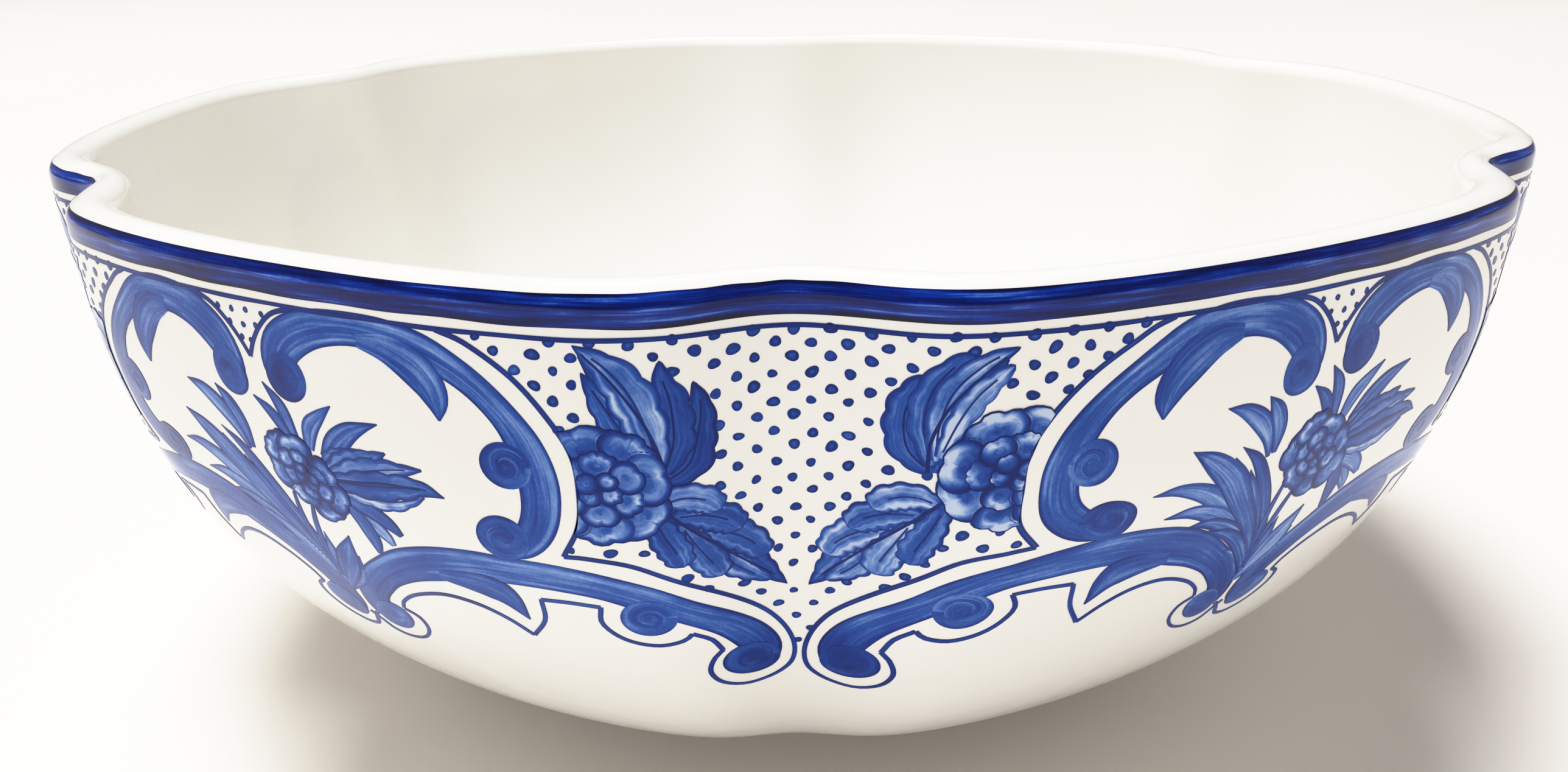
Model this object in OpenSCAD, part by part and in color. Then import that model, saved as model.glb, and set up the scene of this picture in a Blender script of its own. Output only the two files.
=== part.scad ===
// Lobed porcelain serving bowl on a turned foot ring.
// Z is up. The origin is the centre of the ring that the bowl stands on,
// and one of the notches between the lobes faces -Y.

/* [Bowl] */
// Outer radius of the rim at the middle of a lobe
rim_r = 125; // [100:1:150]
// Height from the table to the top of the rim
bowl_h = 100; // [80:1:120]
// Radius where the belly curve runs out into the flat underside
base_r = 54; // [48:1:60]
// Thickness of the wall and of the floor
wall_t = 5.5; // [4:0.1:7]

/* [Lobes] */
// Number of lobes
lobes = 6; // [5:1:8]
// How far the rim steps in at a notch, from the middle of a lobe
notch_in = 5; // [2:0.1:6]
// How far the rim swells out beside a notch
shoulder_out = 2.6; // [0:0.1:4]
// Half width of a notch on the outside, in degrees round the rim
notch_half = 5.8; // [5:0.1:7]
// Half width of the soft ridge that the notch makes on the inside
ridge_half = 8; // [7:0.1:9]
// How soon the notches fade towards the base: more runs them further down
notch_run = 5; // [3:1:8]

/* [Foot ring] */
// Height of the foot ring
foot_h = 8; // [5:0.5:12]
// Outer radius of the foot ring where it joins the bowl
foot_r = 53; // [44:1:53]
// Thickness of the foot ring
foot_t = 6; // [5:0.5:7]
// How much the foot ring tapers in on its way down
foot_taper = 1.5; // [0:0.1:2]
// Rounding of the edges that the bowl stands on
foot_round = 1.2; // [0.5:0.1:1.8]

/* [Rim] */
// Depth of the separate lip at the top of the wall
lip_h = 9; // [8:0.5:14]
// How far down from the top the cobalt band reaches
band_h = 5.6; // [5:0.1:7]
// Where the band stops on the round of the lip, in degrees up from level
band_top = 50; // [20:5:70]
// Thickness of the layer of cobalt
band_t = 0.35; // [0.2:0.05:0.5]

/* [Hidden] */
// Facets round one lobe, and along the belly and the wall, the floor's edge and
// the lip's round
lobe_steps = 20;
wall_steps = 8;
edge_steps = 5;
lip_steps = 10;
band_steps = 5;
// The facets crowd towards the notches by this much
crowd = 0.08;
// The belly is a quarter ellipse with these half axes
belly_a = rim_r - base_r;
belly_b = bowl_h - foot_h;
// Angles along that ellipse, from 0 at the rim to 90 at the base
lip_phi = asin(lip_h / belly_b);
wall_phi = 36;
floor_phi = 66;
lip_r = wall_t / 2;
$fn = 96;

// Direction of facet edge k, counted from the notch at -Y
function facet_turn(k) = let (u = k / lobe_steps) (u - crowd * sin(360 * u)) * 360 / lobes;
turns = [for (k = [0 : lobes * lobe_steps - 1]) facet_turn(k)];

// Angle from direction a to the nearest notch
function off_notch(a) = let (p = 360 / lobes, m = a % p) min(m, p - m);
// Growth of the radius in direction a at the rim, as a fraction
function lobe_out(a, half) =
    (shoulder_out * (1 + cos(lobes * a)) / 2
    - (notch_in + shoulder_out) * exp(-pow(off_notch(a) / half, 2))) / rim_r;

// A profile point is [radius, height, share of the lobing that reaches it,
// half width of the notch there], and inset is its depth under the outside
function share(phi) = 1 - pow(sin(phi), notch_run);
function half_at(inset) = notch_half + (ridge_half - notch_half) * inset / wall_t;
function belly(phi, inset) =
    let (n = norm([belly_b * cos(phi), belly_a * sin(phi)]))
    [base_r + belly_a * cos(phi) - inset * belly_b * cos(phi) / n,
     bowl_h - belly_b * sin(phi) + inset * belly_a * sin(phi) / n,
     share(phi),
     half_at(inset)];
function belly_run(from, to, inset, steps) =
    [for (i = [0 : steps]) belly(from + (to - from) * i / steps, inset)];
// Point on the round of the lip, v degrees up from level on the outside
function lip_point(v, inset) =
    let (r = rim_r - lip_r + (lip_r - inset) * cos(v))
    [r, bowl_h - lip_r + (lip_r - inset) * sin(v), 1, half_at(rim_r - r)];
function lip_run(from, to, inset, steps) =
    [for (i = [0 : steps]) lip_point(from + (to - from) * i / steps, inset)];

// One profile point carried to direction a
function carried(p, a) =
    let (r = p[0] * (1 + p[2] * lobe_out(a, p[3])))
    [r * sin(a), -r * cos(a), p[1]];
function flip(list) = [for (i = [len(list) - 1 : -1 : 0]) list[i]];

// The face strips between neighbouring profile points, from point i to i + 1
function strips(count, from, to) =
    let (n = len(turns))
    [for (k = [0 : n - 1], i = [from : to])
        let (i2 = (i + 1) % count, k2 = (k + 1) % n,
             a = k * count + i, b = k * count + i2, c = k2 * count + i2, d = k2 * count + i)
        each [[a, b, c], [a, c, d]]];

// A closed ring whose section is the loop of profile points
module lobed_ring(loop) {
    count = len(loop);
    polyhedron(
        points = [for (a = turns, p = loop) carried(p, a)],
        faces = strips(count, 0, count - 1));
}

// A closed disc: its first and last profile points bound flat round faces
module lobed_disc(run) {
    count = len(run);
    n = len(turns);
    polyhedron(
        points = [for (a = turns, p = run) carried(p, a)],
        faces = concat(
            strips(count, 0, count - 2),
            [[for (k = [0 : n - 1]) k * count]],
            [[for (k = [n - 1 : -1 : 0]) k * count + count - 1]]));
}

// The layer of cobalt: its outer face, and the bed that it lies in
function band_face(inset) =
    concat([belly(asin(band_h / belly_b), inset)], lip_run(0, band_top, inset, band_steps));

// Turned ring with rounded standing edges and a flat standing face
module foot_ring() {
    out_low = foot_r - foot_taper;
    in_low = out_low - foot_t + foot_taper;
    rounding = [for (v = [0 : 15 : 90]) [cos(v), -sin(v)] * foot_round];
    color("antiquewhite")
        rotate_extrude()
            polygon(concat(
                [[foot_r - foot_t, foot_h]],
                [for (q = rounding) [in_low + foot_round - q[0], foot_round + q[1]]],
                [for (q = flip(rounding)) [out_low - foot_round + q[0], foot_round + q[1]]],
                [[foot_r, foot_h]]));
}

// Flat well with the lowest part of the belly round it
module well_floor() {
    color("snow")
        lobed_disc(concat(
            belly_run(90, floor_phi, 0, edge_steps),
            belly_run(floor_phi, 90, wall_t, edge_steps)));
}

// Lobed belly, which flares from the floor to the side wall
module bowl_belly() {
    color("snow")
        lobed_ring(concat(
            belly_run(floor_phi, wall_phi, 0, wall_steps),
            belly_run(wall_phi, floor_phi, wall_t, wall_steps)));
}

// Lobed side wall, from the belly to the lip
module bowl_wall() {
    color("snow")
        lobed_ring(concat(
            belly_run(wall_phi, lip_phi, 0, wall_steps),
            belly_run(lip_phi, wall_phi, wall_t, wall_steps)));
}

// Rounded lip with a shallow bed for the cobalt round its outside
module rim_lip() {
    color("white")
        lobed_ring(concat(
            [belly(lip_phi, 0), belly(asin(band_h / belly_b), 0)],
            band_face(band_t),
            lip_run(band_top, 180, 0, lip_steps),
            [belly(lip_phi, wall_t)]));
}

// Band of cobalt glaze round the outside of the rim
module cobalt_band() {
    color("midnightblue")
        lobed_ring(concat(band_face(0), flip(band_face(band_t))));
}

foot_ring();
well_floor();
bowl_belly();
bowl_wall();
rim_lip();
cobalt_band();
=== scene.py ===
import math
import random

import bpy
import numpy as np
from mathutils import Matrix, Vector


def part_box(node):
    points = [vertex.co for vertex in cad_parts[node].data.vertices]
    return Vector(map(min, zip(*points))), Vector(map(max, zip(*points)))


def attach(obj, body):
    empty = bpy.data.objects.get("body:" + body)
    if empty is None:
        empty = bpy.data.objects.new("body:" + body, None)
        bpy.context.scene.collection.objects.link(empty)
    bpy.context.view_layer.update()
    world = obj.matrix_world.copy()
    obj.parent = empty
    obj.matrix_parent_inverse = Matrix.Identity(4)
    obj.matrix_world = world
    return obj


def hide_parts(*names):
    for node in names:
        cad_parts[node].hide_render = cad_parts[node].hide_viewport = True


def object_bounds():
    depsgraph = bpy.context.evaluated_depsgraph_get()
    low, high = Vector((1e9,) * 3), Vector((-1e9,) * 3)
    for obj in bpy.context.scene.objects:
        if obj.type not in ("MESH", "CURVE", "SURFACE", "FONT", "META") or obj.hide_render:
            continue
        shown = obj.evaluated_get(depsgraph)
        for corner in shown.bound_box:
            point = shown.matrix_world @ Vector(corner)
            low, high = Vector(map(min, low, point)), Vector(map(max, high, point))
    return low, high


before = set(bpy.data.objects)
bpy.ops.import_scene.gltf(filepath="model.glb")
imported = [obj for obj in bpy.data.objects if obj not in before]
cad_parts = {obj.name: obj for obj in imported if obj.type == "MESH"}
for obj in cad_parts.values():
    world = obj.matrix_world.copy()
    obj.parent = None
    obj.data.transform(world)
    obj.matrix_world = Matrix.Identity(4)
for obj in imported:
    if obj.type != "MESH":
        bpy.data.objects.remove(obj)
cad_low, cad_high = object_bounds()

MM = 0.001

# ------------------------ dimensions
RIM_R = cad_high.x
BOWL_H = cad_high.z
FOOT_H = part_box("foot_ring")[1].z
WALL_T = 5.5 * MM
BASE_R = 54 * MM
BELLY_A = RIM_R - BASE_R
BELLY_B = BOWL_H - FOOT_H
FLOOR_PHI = math.radians(66)
WALL_PHI = math.radians(36)
LIP_PHI = math.asin((BOWL_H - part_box("rim_lip")[0].z) / BELLY_B)
LIP_R = WALL_T / 2
# The lip's round starts where it is tangent to the belly curve
ROUND_PHI = math.asin(LIP_R / (BELLY_B - LIP_R * BELLY_A / BELLY_B))

LOBES = 6
PITCH = 2 * math.pi / LOBES
NOTCH = 5 * MM
SHOULDER = 2.6 * MM
NOTCH_HALF = math.radians(5.8)
RIDGE_HALF = math.radians(8)
NOTCH_RUN = 5

TURNS_PER_LOBE = 96
CROWD = 0.08


# ------------------------ the bowl's own curve
def carried(turn, r, z, share, inset):
    """A profile point carried to a direction, counted from the notch at -Y."""
    half = NOTCH_HALF + (RIDGE_HALF - NOTCH_HALF) * inset / WALL_T
    m = np.mod(turn, PITCH)
    off = np.minimum(m, PITCH - m)
    swell = SHOULDER * (1 + np.cos(LOBES * turn)) / 2
    dent = (NOTCH + SHOULDER) * np.exp(-((off / half) ** 2))
    r = r * (1 + share * (swell - dent) / RIM_R)
    return np.stack([r * np.sin(turn), -r * np.cos(turn), z + 0 * r], axis=-1)


def belly_profile(phi, inset):
    """Radius, height and outward direction of the belly, inset under its outside."""
    n = np.hypot(BELLY_B * np.cos(phi), BELLY_A * np.sin(phi))
    out_r = BELLY_B * np.cos(phi) / n
    out_z = -BELLY_A * np.sin(phi) / n
    r = BASE_R + BELLY_A * np.cos(phi) - inset * out_r
    z = BOWL_H - BELLY_B * np.sin(phi) - inset * out_z
    return r, z, out_r, out_z


def belly(turn, phi, inset=0.0):
    r, z = belly_profile(phi, inset)[:2]
    return carried(turn, r, z, 1 - np.sin(phi) ** NOTCH_RUN, inset)


LIP_CENTRE_R, LIP_CENTRE_Z, LIP_OUT_R, LIP_OUT_Z = belly_profile(ROUND_PHI, LIP_R)
LIP_START = math.atan2(LIP_OUT_Z, LIP_OUT_R)


def lip(turn, v):
    """The round of the lip, v in radians on from where it leaves the belly."""
    r = LIP_CENTRE_R + LIP_R * np.cos(LIP_START + v)
    z = LIP_CENTRE_Z + LIP_R * np.sin(LIP_START + v)
    share = 1 - math.sin(ROUND_PHI) ** NOTCH_RUN
    return carried(turn, r, z, share, LIP_R * (1 - np.cos(v)))


def well(turn, t):
    """The flat well, t from 1 at its edge to 0 in the middle."""
    return carried(turn, BASE_R * t, FOOT_H + WALL_T, 0.0, WALL_T)


def underside(turn, t):
    """The flat underside, t from 0 in the middle to 1 at its edge."""
    return carried(turn, BASE_R * t, FOOT_H, 0.0, 0.0)


# The belly curve in small steps: angles, radii and heights, and distances down it
BELLY_PHI = np.linspace(0, math.pi / 2, 2000)
BELLY_RZ = np.stack(belly_profile(BELLY_PHI, 0.0)[:2], axis=-1)
BELLY_DOWN = np.concatenate([[0], np.cumsum(np.linalg.norm(np.diff(BELLY_RZ, axis=0), axis=1))])
LIP_DOWN = float(np.interp(ROUND_PHI, BELLY_PHI, BELLY_DOWN))


def outside(turn, down):
    """The bowl's outside at a distance down from the top of the belly curve."""
    on_belly = belly(turn, np.interp(np.maximum(down, LIP_DOWN), BELLY_DOWN, BELLY_PHI))
    on_lip = lip(turn, (LIP_DOWN - np.minimum(down, LIP_DOWN)) / LIP_R)
    return np.where((down >= LIP_DOWN)[..., None], on_belly, on_lip)


def plain_radius(down):
    """Radius of the outside without its lobes."""
    return np.interp(down, BELLY_DOWN, BELLY_RZ[:, 0])


TURN_STEP = 1e-4
SWEEP_STEP = 1e-4
DOWN_STEP = 0.01 * MM


def normals_of(surface, turn, t, step_t):
    """Outward unit normals of surface(turn, t), where t runs down the outside."""
    along = surface(turn + TURN_STEP, t) - surface(turn - TURN_STEP, t)
    across = surface(turn, t - step_t) - surface(turn, t + step_t)
    n = np.cross(along, across)
    return n / np.linalg.norm(n, axis=-1, keepdims=True)


# ------------------------ mesh building
def link(obj, slot, *nodes):
    bpy.context.scene.collection.objects.link(obj)
    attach(obj, "root")
    if nodes:
        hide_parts(*nodes)
    return obj


def make_mesh(name, points, faces, loop_normals, material):
    mesh = bpy.data.meshes.new(name)
    mesh.from_pydata(points.tolist(), [], faces, shade_flat=False)
    mesh.normals_split_custom_set(loop_normals.tolist())
    mesh.materials.append(material)
    return bpy.data.objects.new(name, mesh)


def facet_turns():
    """Directions of the facet edges, closer together at the notches."""
    u = np.arange(LOBES * TURNS_PER_LOBE) / TURNS_PER_LOBE
    return (u - CROWD * np.sin(2 * math.pi * u)) * PITCH


class Sheet:
    """One smooth stretch of a shell's section swept round the bowl, in rows of points."""

    def __init__(self, points, normals):
        self.points = points
        self.normals = normals


def swept(surface, ts, facing=1):
    """The sheet of surface(turn, t) over the values ts, facing out or, with -1, in."""
    grid_t, grid_turn = np.meshgrid(np.asarray(ts, float), facet_turns(), indexing="ij")
    normals = facing * normals_of(surface, grid_turn, grid_t, SWEEP_STEP)
    return Sheet(surface(grid_turn, grid_t), normals)


def joining(start, end):
    """The flat ring from the last row of one sheet to the first row of the next."""
    from_row, to_row = start.points[-1], end.points[0]
    along = np.roll(from_row, -1, axis=0) - np.roll(from_row, 1, axis=0)
    n = np.cross(along, from_row - to_row)
    n /= np.linalg.norm(n, axis=-1, keepdims=True)
    return Sheet(np.stack([from_row, to_row]), np.stack([n, n]))


def make_shell(name, sheets, material, closed=True):
    """A shell from the sheets of its section, in order down the outside."""
    rows, faces, normals = [], [], []
    count = sheets[0].points.shape[1]
    total = sum(len(s.points) - 1 for s in sheets) + (0 if closed else 1)
    row = 0
    for s in sheets:
        last = s is sheets[-1]
        rows.append(s.points if last and not closed else s.points[:-1])
        for j in range(len(s.points) - 1):
            low, high = (row + 1) % total, row
            for k in range(count):
                k2 = (k + 1) % count
                faces.append((low * count + k, low * count + k2,
                              high * count + k2, high * count + k))
                normals += [s.normals[j + 1][k], s.normals[j + 1][k2],
                            s.normals[j][k2], s.normals[j][k]]
            row += 1
    if not closed:
        faces.append(tuple(range(count)))
        faces.append(tuple((total - 1) * count + k for k in reversed(range(count))))
        normals += [sheets[0].normals[0][0]] * count
        normals += [sheets[-1].normals[-1][0]] * count
    points = np.concatenate(rows).reshape(-1, 3)
    return make_mesh(name, points, faces, np.array(normals), material)


# ------------------------ materials
# Sizes of noise are in features per metre
GLAZE_WAVES, GLAZE_GRAIN, GLAZE_CLOUDS = 55.0, 900.0, 30.0
GRAIN_SHARE = 0.015
WAVE_HEIGHT = 1.2 * MM
WAVE_STRENGTH = 0.25
GLAZE_ROUGHNESS = (0.05, 0.11)
GLAZE_IOR = 1.5


class Nodes:
    """A material's node tree, built a node at a time."""

    def __init__(self, name):
        self.material = bpy.data.materials.new(name)
        self.material.use_nodes = True
        self.tree = self.material.node_tree
        self.shader = self.tree.nodes["Principled BSDF"]

    def add(self, kind, inputs=None, **settings):
        node = self.tree.nodes.new("ShaderNode" + kind)
        for key, value in settings.items():
            setattr(node, key, value)
        for key, value in (inputs or {}).items():
            self.feed(node.inputs[key], value)
        return node

    def feed(self, socket, value):
        if isinstance(value, bpy.types.NodeSocket):
            self.tree.links.new(value, socket)
        else:
            socket.default_value = value

    def math(self, operation, a, b=0.0, c=0.0, clamp=False):
        node = self.add("Math", {0: a, 1: b, 2: c}, operation=operation)
        node.use_clamp = clamp
        return node.outputs[0]

    def noise(self, vector, scale, detail=3.0, roughness=0.5):
        node = self.add("TexNoise", {"Vector": vector, "Scale": scale,
                                     "Detail": detail, "Roughness": roughness})
        return node.outputs["Fac"]

    def ramp(self, fac, stops):
        node = self.add("ValToRGB", {"Fac": fac})
        elements = node.color_ramp.elements
        while len(elements) < len(stops):
            elements.new(0.5)
        for element, (place, colour) in zip(elements, stops):
            element.position = place
            element.color = (*colour, 1.0)
        return node.outputs["Color"]

    def mix(self, fac, a, b):
        node = self.add("Mix", {0: fac, 6: a, 7: b}, data_type="RGBA")
        return node.outputs[2]

    def remap(self, value, low, high, to_low, to_high):
        node = self.add("MapRange", {"Value": value, "From Min": low, "From Max": high,
                                     "To Min": to_low, "To Max": to_high})
        return node.outputs["Result"]

    def glaze(self, vector):
        """Clear glaze over the colour: glossy, with the faint waves of a dipped pot."""
        waves = self.noise(vector, GLAZE_WAVES, 2.0)
        grain = self.noise(vector, GLAZE_GRAIN, 2.0)
        height = self.math("ADD", waves, self.math("MULTIPLY", grain, GRAIN_SHARE))
        bump = self.add("Bump", {"Strength": WAVE_STRENGTH, "Distance": WAVE_HEIGHT,
                                 "Height": height})
        self.feed(self.shader.inputs["Normal"], bump.outputs["Normal"])
        clouds = self.noise(vector, GLAZE_CLOUDS)
        rough = self.remap(clouds, 0.3, 0.7, *GLAZE_ROUGHNESS)
        self.feed(self.shader.inputs["Roughness"], rough)
        self.shader.inputs["IOR"].default_value = GLAZE_IOR


def srgb(*channels):
    """A colour given as it looks on screen, 0 to 255, in linear light."""
    values = [c / 255 for c in channels]
    return tuple(v / 12.92 if v <= 0.04045 else ((v + 0.055) / 1.055) ** 2.4 for v in values)


BODY_CLOUDS = 14.0
SPECK_CELLS = 75.0
# The share of cells that hold a speck, its radius as a share of a cell, its strength
SPECK_RARE, SPECK_RADIUS, SPECK_STRENGTH = 0.012, 0.028, 0.55


def porcelain_material(name, light, shade):
    """Warm white porcelain with cloudy tints and a rare iron speck under the glaze."""
    n = Nodes(name)
    place = n.add("TexCoord").outputs["Object"]
    clouds = n.noise(place, BODY_CLOUDS, 4.0, 0.6)
    body = n.ramp(clouds, [(0.3, shade), (0.7, light)])
    speck = n.add("TexVoronoi", {"Vector": place, "Scale": SPECK_CELLS}, feature="F1")
    draw = n.add("SeparateColor", {"Color": speck.outputs["Color"]}).outputs[0]
    pick = n.math("LESS_THAN", draw, SPECK_RARE)
    spot = n.math("LESS_THAN", speck.outputs["Distance"], SPECK_RADIUS)
    specks = n.math("MULTIPLY", pick, spot)
    faint = n.math("MULTIPLY", specks, SPECK_STRENGTH)
    n.feed(n.shader.inputs["Base Color"], n.mix(faint, body, (*srgb(120, 100, 80), 1)))
    n.glaze(place)
    return n.material


# What each point of paint carries: millimetres along its stroke, its place across (-1
# to 1, or 0 to 1 in a dab), millimetres from the edge, the brush's load and thinness
STROKE_KEYS = ("along", "across", "edge", "tone", "glow")
# How fast hairs and broad bands change along and across a stroke, and how slowly the
# pattern of both changes further along it
HAIRS_ALONG, HAIRS_ACROSS = 0.06, 3.6
BANDS_ALONG, BANDS_ACROSS = 0.03, 1.3
CHANGE = 0.003
# How deep the paint darkens in from an edge, and where it begins to thin, is thinnest,
# begins to thicken and is full again, in millimetres from the edge
EDGE_DEPTH = 0.85
THIN_FROM, THIN_FULL, THIN_FADE, THIN_END = 0.25, 0.7, 0.9, 2.2
# Sizes of the noise in the paint, and how strongly it shows
POOLS, SPECKLE, PATCHES = 160.0, 2200.0, 320.0
POOLS_SHARE, SPECKLE_SHARE, BANDS_SHARE = 0.4, 0.16, 0.8


def cobalt_material(name, stops, streak=0.42, edge_dark=0.42, gloss=0.17):
    """Brushed cobalt under the glaze, from light at load 0 to dark at load 1. streak and
    edge_dark are how plainly hairs and edges show, and gloss is the specular level."""
    n = Nodes(name)
    place = n.add("TexCoord").outputs["Object"]
    along, across, edge, tone, glow = [
        n.add("Attribute", attribute_name=key).outputs["Fac"] for key in STROKE_KEYS]

    flow = n.add("CombineXYZ", {"X": n.math("MULTIPLY", along, HAIRS_ALONG),
                                "Y": n.math("MULTIPLY", across, HAIRS_ACROSS),
                                "Z": n.math("MULTIPLY", along, CHANGE)}).outputs[0]
    hairs = n.noise(flow, 1.6, 4.0, 0.62)
    broad = n.add("CombineXYZ", {"X": n.math("MULTIPLY", along, BANDS_ALONG),
                                 "Y": n.math("MULTIPLY", across, BANDS_ACROSS),
                                 "Z": n.math("MULTIPLY", along, CHANGE)}).outputs[0]
    bands = n.math("SUBTRACT", n.noise(broad, 1.9, 1.0), 0.5)
    streaks = n.math("MULTIPLY_ADD", bands, BANDS_SHARE, n.math("SUBTRACT", hairs, 0.5))
    dry = n.remap(hairs, 0.6, 0.74, 0.0, 0.3)
    pools = n.math("SUBTRACT", n.noise(place, POOLS, 3.0), 0.5)
    speckle = n.math("SUBTRACT", n.noise(place, SPECKLE, 2.0), 0.5)
    rim = n.remap(edge, 0.0, EDGE_DEPTH, 1.0, 0.0)
    rim = n.math("MULTIPLY", n.math("MULTIPLY", rim, rim), edge_dark)

    load = n.math("ADD", tone, rim)
    load = n.math("MULTIPLY_ADD", streaks, streak * 2, load)
    load = n.math("SUBTRACT", load, dry)
    load = n.math("MULTIPLY_ADD", pools, POOLS_SHARE, load)
    load = n.math("MULTIPLY_ADD", speckle, SPECKLE_SHARE, load)

    thin = n.math("MULTIPLY", n.remap(edge, THIN_FROM, THIN_FULL, 0.0, 1.0),
                  n.remap(edge, THIN_FADE, THIN_END, 1.0, 0.0))
    patches = n.remap(n.noise(place, PATCHES, 2.0), 0.35, 0.65, 0.2, 1.5)
    light = n.math("MULTIPLY", n.math("MULTIPLY", thin, glow), patches)
    load = n.math("SUBTRACT", load, light, clamp=True)
    n.feed(n.shader.inputs["Base Color"], n.ramp(load, stops))
    n.shader.inputs["Specular IOR Level"].default_value = gloss
    n.glaze(place)
    return n.material


WHITE = porcelain_material("white_porcelain", srgb(248, 247, 243), srgb(244, 242, 236))
FOOT = porcelain_material("foot_porcelain", srgb(240, 236, 226), srgb(228, 221, 207))
BRUSHED = cobalt_material("brushed_cobalt", [
    (0.0, srgb(190, 206, 234)), (0.22, srgb(104, 140, 206)), (0.46, srgb(34, 80, 166)),
    (0.7, srgb(9, 50, 138)), (1.0, srgb(2, 26, 100))])
DEEP = cobalt_material("deep_cobalt", [
    (0.0, srgb(84, 124, 206)), (0.3, srgb(6, 50, 152)), (0.6, srgb(1, 22, 104)),
    (1.0, srgb(1, 6, 44))], streak=0.9, gloss=0.25)


# ------------------------ laying paint on it
# A stroke stands this far off the porcelain, and this much further for each layer,
# and its underside is sunk this far into the wall
LIFT = 0.045 * MM
LAYER = 0.011 * MM
SUNK = 0.06 * MM
# The pattern was laid by hand: it spreads a little about every other notch and closes
# up about the next, by 0.9 of DRIFT at most. Its widths are SQUEEZE of those in the
# lists on average
DRIFT = math.radians(1.75)
SQUEEZE = 0.95
# How far the right half of a unit was laid outwards and down from its true mirror
# image: a row for each distance down in ASIDE_Y, a column for each distance out in ASIDE_X
ASIDE_X = (0, 24, 34, 48, 62)
ASIDE_Y = (6, 16, 24, 34, 46, 58)
OUTWARD = [(0, 3.0, 3.8, 2.5, 0.3), (0, 1.8, 2.0, 2.6, 0.2), (0, 1.5, 1.1, 2.0, 0.1),
           (0, 0.3, 3.2, 2.5, 0.5), (0.8, 3.0, 3.1, 2.0, 0.5), (0.9, 2.0, 1.6, 1.0, 0.0)]
DOWNWARD = [(0, 0, 0, 0, 0.2), (0, 0, 0.8, 2.2, 1.0), (0, 0.2, 1.2, 1.6, 0.6),
            (0, 0.1, -1.6, -1.2, -0.5), (0.3, -1.2, -0.9, -0.5, 0.1), (1.3, 0.6, -0.5, -0.3, -0.1)]
RIM_LINE_Y = 5.9
# What an end without a dark edge adds to the distance from the edge
SOFT = 1.5
# Each stroke starts this far on from the one before it in the brush's hairs
HAIR_SHIFT = 37.0
CURVE_STEPS = 24
# In millimetres: the least half width of a stroke, the breadth of its cells and of a
# ring's, and half the width of a thin line
THINNEST, CELL, RING_CELL, LINE_HALF = 0.03, 0.7, 0.45, 0.33


def laid(turn):
    """Where a direction of the even pattern came out: a triangle wave's first two terms."""
    n = LOBES // 2
    return turn + DRIFT * (np.sin(n * turn) - np.sin(3 * n * turn) / 9) * 8 / math.pi ** 2


def curve(points, step=0.7):
    """A smooth curve through points with any number of values, at even distances in their
    first two, and those distances."""
    p = np.array(points, float)
    if len(p) == 2:
        dense = np.linspace(p[0], p[1], CURVE_STEPS)
    else:
        padded = np.vstack([2 * p[0] - p[1], p, 2 * p[-1] - p[-2]])
        t = np.linspace(0, 1, CURVE_STEPS, endpoint=False)[:, None]
        parts = []
        for a, b, c, d in zip(padded, padded[1:], padded[2:], padded[3:]):
            parts.append(0.5 * (2 * b + (c - a) * t + (2 * a - 5 * b + 4 * c - d) * t ** 2
                                + (3 * b - a - 3 * c + d) * t ** 3))
        dense = np.vstack([*parts, p[-1:]])
    run = np.concatenate([[0], np.cumsum(np.linalg.norm(np.diff(dense[:, :2], axis=0), axis=1))])
    even = np.linspace(0, run[-1], max(3, round(run[-1] / step) + 1))
    return np.stack([np.interp(even, run, dense[:, i]) for i in range(p.shape[1])], axis=-1), even


def aside(table, x, y):
    """A table's value at points between its columns and its rows."""
    columns = np.array([np.interp(x, ASIDE_X, row) for row in table])
    place = np.interp(y, ASIDE_Y, np.arange(len(ASIDE_Y)))
    row = np.minimum(place.astype(int), len(ASIDE_Y) - 2)
    share = place - row
    share = share * share * (3 - 2 * share)
    at = np.arange(len(x))
    return columns[row, at] * (1 - share) + columns[row + 1, at] * share


def mirrored(xy, apart=1.0):
    """Points carried over to the other half, which the painter laid a little apart."""
    x, y = -xy[:, 0], xy[:, 1]
    return np.column_stack([x + apart * aside(OUTWARD, np.abs(x), y),
                            y + apart * aside(DOWNWARD, np.abs(x), y)])


def give_keys(obj, columns):
    """Gives the points of a painted object their values, a column for each stroke key."""
    for key, values in zip(STROKE_KEYS, columns):
        data = obj.data.attributes.new(key, "FLOAT", "POINT").data
        data.foreach_set("value", np.ascontiguousarray(values, np.float32))


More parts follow.
